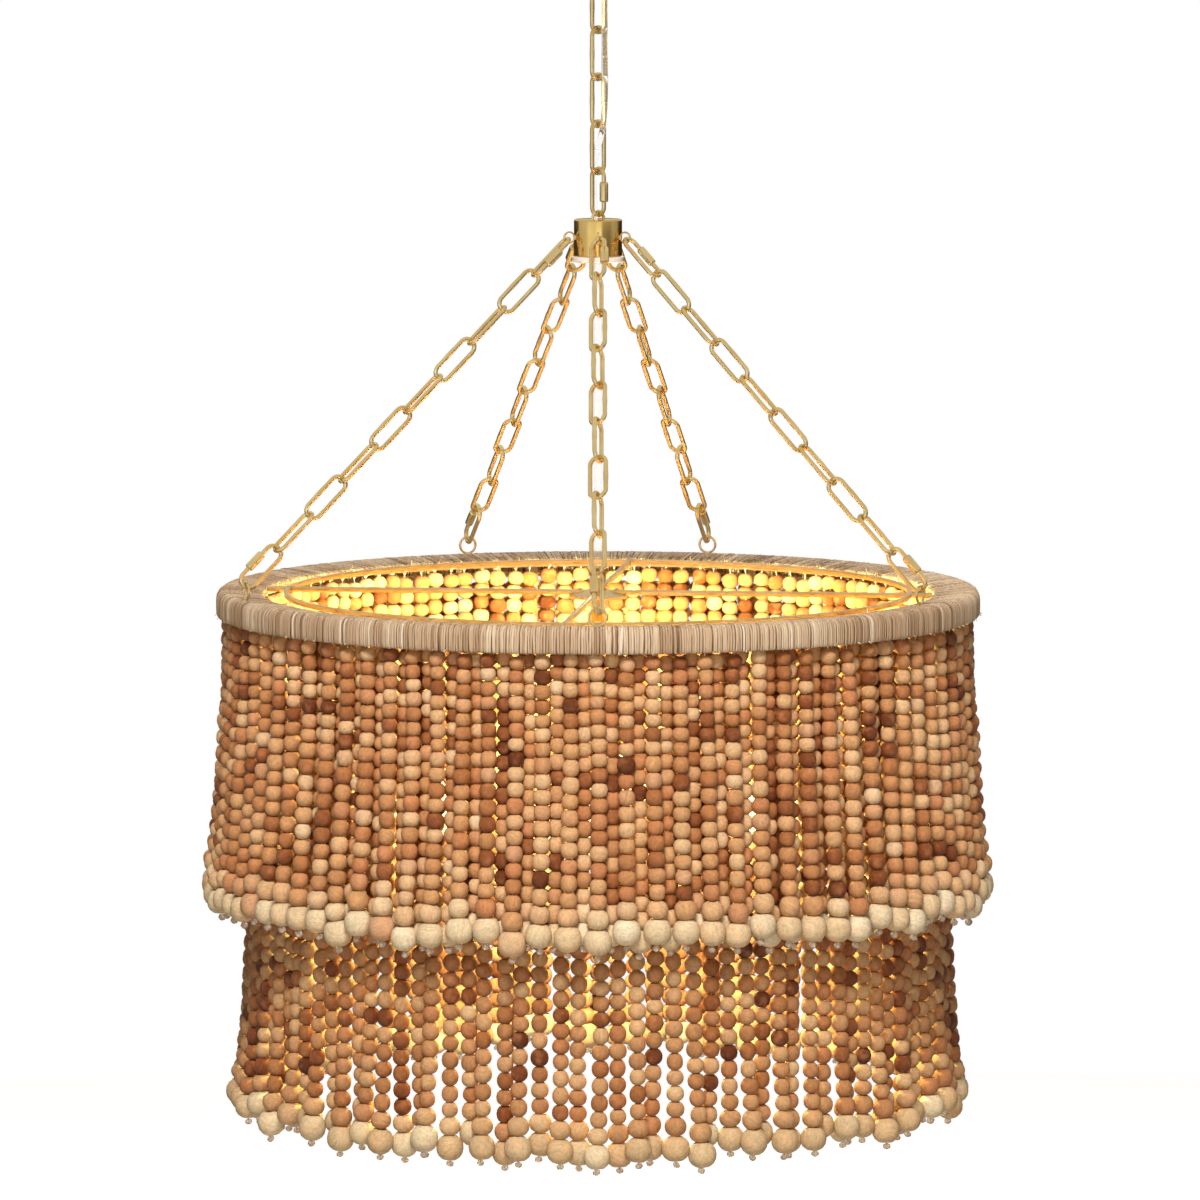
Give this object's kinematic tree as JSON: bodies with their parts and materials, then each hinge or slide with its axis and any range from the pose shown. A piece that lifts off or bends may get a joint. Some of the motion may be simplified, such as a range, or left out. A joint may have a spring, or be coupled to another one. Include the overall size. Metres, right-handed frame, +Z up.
{
  "type": "beaded chandelier",
  "caption": "Round two-tier wooden bead chandelier with a reed wrapped band, hung on brass chains from a ceiling canopy.",
  "frame": {"origin": "centre of the crossbar's upper face, on the ceiling and on the axis of the fixture", "axes": "+Z up into the ceiling, -Y towards the front chain"},
  "size_m": [0.7628, 0.7628, 1.1444],
  "materials": {
    "brass": "polished",
    "frame_brass": "satin",
    "steel": "zinc plated",
    "reed": "dry natural reed strips",
    "upper_beads": "turned wood beads with a low sheen",
    "lower_beads": "turned wood beads with a low sheen",
    "frosted_plastic": "translucent",
    "clear_cord": "clear jacket",
    "bulb_glass": "warm frosted"
  },
  "bodies": {
    "ceiling_fixing": {"canopy": "brass", "ceiling_crossbar": "steel", "canopy_collar": "brass", "canopy_loop": "brass", "upper_cord": "clear_cord"},
    "chain_link_1": {"chain_link_1": "brass"},
    "chain_link_2": {"chain_link_2": "brass"},
    "chain_link_3": {"chain_link_3": "brass"},
    "chain_link_4": {"chain_link_4": "brass"},
    "quick_link": {"quick_link": "brass", "quick_link_sleeve": "brass"},
    "fixture": {"hub_body": "brass", "hub_loop": "brass", "hub_disc": "frosted_plastic", "band_wrap": "reed", "band_frame": "frame_brass", "cross_bars": "brass", "cord_grip": "brass", "lamp_stem": "brass", "lamp_arms": "brass", "lower_cord": "clear_cord", "hub_eye_front": "brass", "side_chain_front": "brass", "band_eye_front": "brass", "hub_eye_left": "brass", "side_chain_left": "brass", "band_eye_left": "brass", "hub_eye_right": "brass", "side_chain_right": "brass", "band_eye_right": "brass", "hub_eye_rear_left": "brass", "side_chain_rear_left": "brass", "band_eye_rear_left": "brass", "hub_eye_rear_right": "brass", "side_chain_rear_right": "brass", "band_eye_rear_right": "brass", "lamp_holder_1": "brass", "bulb_1": "bulb_glass", "lamp_holder_2": "brass", "bulb_2": "bulb_glass", "lamp_holder_3": "brass", "bulb_3": "bulb_glass", "lamp_holder_4": "brass", "bulb_4": "bulb_glass"},
    "lower_curtain_1": {"lower_curtain_1": "lower_beads"},
    "upper_curtain_1": {"upper_curtain_1": "upper_beads"},
    "lower_curtain_2": {"lower_curtain_2": "lower_beads"},
    "upper_curtain_2": {"upper_curtain_2": "upper_beads"},
    "lower_curtain_3": {"lower_curtain_3": "lower_beads"},
    "upper_curtain_3": {"upper_curtain_3": "upper_beads"},
    "lower_curtain_4": {"lower_curtain_4": "lower_beads"},
    "upper_curtain_4": {"upper_curtain_4": "upper_beads"},
    "lower_curtain_5": {"lower_curtain_5": "lower_beads"},
    "upper_curtain_5": {"upper_curtain_5": "upper_beads"},
    "lower_curtain_6": {"lower_curtain_6": "lower_beads"},
    "upper_curtain_6": {"upper_curtain_6": "upper_beads"},
    "lower_curtain_7": {"lower_curtain_7": "lower_beads"},
    "upper_curtain_7": {"upper_curtain_7": "upper_beads"},
    "lower_curtain_8": {"lower_curtain_8": "lower_beads"},
    "upper_curtain_8": {"upper_curtain_8": "upper_beads"}
  },
  "joints": [
    {"name": "link_1_swing", "type": "hinge", "parent": "ceiling_fixing", "child": "chain_link_1", "pos_m": [0, 0, -0.05735], "axis": [0.7071, 0.7071, 0], "range_deg": [-12, 12], "deforming": ["upper_cord"]},
    {"name": "link_2_swing", "type": "hinge", "parent": "chain_link_1", "child": "chain_link_2", "pos_m": [0, 0, -0.1021], "axis": [-0.7071, 0.7071, 0], "range_deg": [-12, 12], "deforming": ["upper_cord"]},
    {"name": "link_3_swing", "type": "hinge", "parent": "chain_link_2", "child": "chain_link_3", "pos_m": [0, 0, -0.1468], "axis": [0.7071, 0.7071, 0], "range_deg": [-12, 12], "deforming": ["upper_cord"]},
    {"name": "link_4_swing", "type": "hinge", "parent": "chain_link_3", "child": "chain_link_4", "pos_m": [0, 0, -0.1915], "axis": [-0.7071, 0.7071, 0], "range_deg": [-12, 12], "deforming": ["upper_cord"]},
    {"name": "quick_link_swing", "type": "hinge", "parent": "chain_link_4", "child": "quick_link", "pos_m": [0, 0, -0.2362], "axis": [0.7071, 0.7071, 0], "range_deg": [-12, 12], "deforming": ["upper_cord"]},
    {"name": "hub_swing", "type": "hinge", "parent": "quick_link", "child": "fixture", "pos_m": [0, 0, -0.2762], "axis": [-0.7071, 0.7071, 0], "range_deg": [-12, 12], "deforming": ["upper_cord"]},
    {"name": "lower_curtain_1_swing", "type": "hinge", "parent": "fixture", "child": "lower_curtain_1", "pos_m": [0.333, 0, -0.6452], "axis": [0, -1, 0], "range_deg": [0, 12]},
    {"name": "upper_curtain_1_swing", "type": "hinge", "parent": "fixture", "child": "upper_curtain_1", "pos_m": [0.36, 0, -0.6578], "axis": [0, -1, 0], "range_deg": [0, 12]},
    {"name": "lower_curtain_2_swing", "type": "hinge", "parent": "fixture", "child": "lower_curtain_2", "pos_m": [0.23547, 0.23547, -0.6452], "axis": [0.7071, -0.7071, 0], "range_deg": [0, 12]},
    {"name": "upper_curtain_2_swing", "type": "hinge", "parent": "fixture", "child": "upper_curtain_2", "pos_m": [0.25456, 0.25456, -0.6578], "axis": [0.7071, -0.7071, 0], "range_deg": [0, 12]},
    {"name": "lower_curtain_3_swing", "type": "hinge", "parent": "fixture", "child": "lower_curtain_3", "pos_m": [0, 0.333, -0.6452], "axis": [1, 0, 0], "range_deg": [0, 12]},
    {"name": "upper_curtain_3_swing", "type": "hinge", "parent": "fixture", "child": "upper_curtain_3", "pos_m": [0, 0.36, -0.6578], "axis": [1, 0, 0], "range_deg": [0, 12]},
    {"name": "lower_curtain_4_swing", "type": "hinge", "parent": "fixture", "child": "lower_curtain_4", "pos_m": [-0.23547, 0.23547, -0.6452], "axis": [0.7071, 0.7071, 0], "range_deg": [0, 12]},
    {"name": "upper_curtain_4_swing", "type": "hinge", "parent": "fixture", "child": "upper_curtain_4", "pos_m": [-0.25456, 0.25456, -0.6578], "axis": [0.7071, 0.7071, 0], "range_deg": [0, 12]},
    {"name": "lower_curtain_5_swing", "type": "hinge", "parent": "fixture", "child": "lower_curtain_5", "pos_m": [-0.333, 0, -0.6452], "axis": [0, 1, 0], "range_deg": [0, 12]},
    {"name": "upper_curtain_5_swing", "type": "hinge", "parent": "fixture", "child": "upper_curtain_5", "pos_m": [-0.36, 0, -0.6578], "axis": [0, 1, 0], "range_deg": [0, 12]},
    {"name": "lower_curtain_6_swing", "type": "hinge", "parent": "fixture", "child": "lower_curtain_6", "pos_m": [-0.23547, -0.23547, -0.6452], "axis": [-0.7071, 0.7071, 0], "range_deg": [0, 12]},
    {"name": "upper_curtain_6_swing", "type": "hinge", "parent": "fixture", "child": "upper_curtain_6", "pos_m": [-0.25456, -0.25456, -0.6578], "axis": [-0.7071, 0.7071, 0], "range_deg": [0, 12]},
    {"name": "lower_curtain_7_swing", "type": "hinge", "parent": "fixture", "child": "lower_curtain_7", "pos_m": [0, -0.333, -0.6452], "axis": [-1, 0, 0], "range_deg": [0, 12]},
    {"name": "upper_curtain_7_swing", "type": "hinge", "parent": "fixture", "child": "upper_curtain_7", "pos_m": [0, -0.36, -0.6578], "axis": [-1, 0, 0], "range_deg": [0, 12]},
    {"name": "lower_curtain_8_swing", "type": "hinge", "parent": "fixture", "child": "lower_curtain_8", "pos_m": [0.23547, -0.23547, -0.6452], "axis": [-0.7071, -0.7071, 0], "range_deg": [0, 12]},
    {"name": "upper_curtain_8_swing", "type": "hinge", "parent": "fixture", "child": "upper_curtain_8", "pos_m": [0.25456, -0.25456, -0.6578], "axis": [-0.7071, -0.7071, 0], "range_deg": [0, 12]}
  ],
  "couplings": [
    {"joint": "upper_curtain_1_swing", "follows": "lower_curtain_1_swing", "ratio": 1},
    {"joint": "upper_curtain_2_swing", "follows": "lower_curtain_2_swing", "ratio": 1},
    {"joint": "upper_curtain_3_swing", "follows": "lower_curtain_3_swing", "ratio": 1},
    {"joint": "upper_curtain_4_swing", "follows": "lower_curtain_4_swing", "ratio": 1},
    {"joint": "upper_curtain_5_swing", "follows": "lower_curtain_5_swing", "ratio": 1},
    {"joint": "upper_curtain_6_swing", "follows": "lower_curtain_6_swing", "ratio": 1},
    {"joint": "upper_curtain_7_swing", "follows": "lower_curtain_7_swing", "ratio": 1},
    {"joint": "upper_curtain_8_swing", "follows": "lower_curtain_8_swing", "ratio": 1}
  ]
}
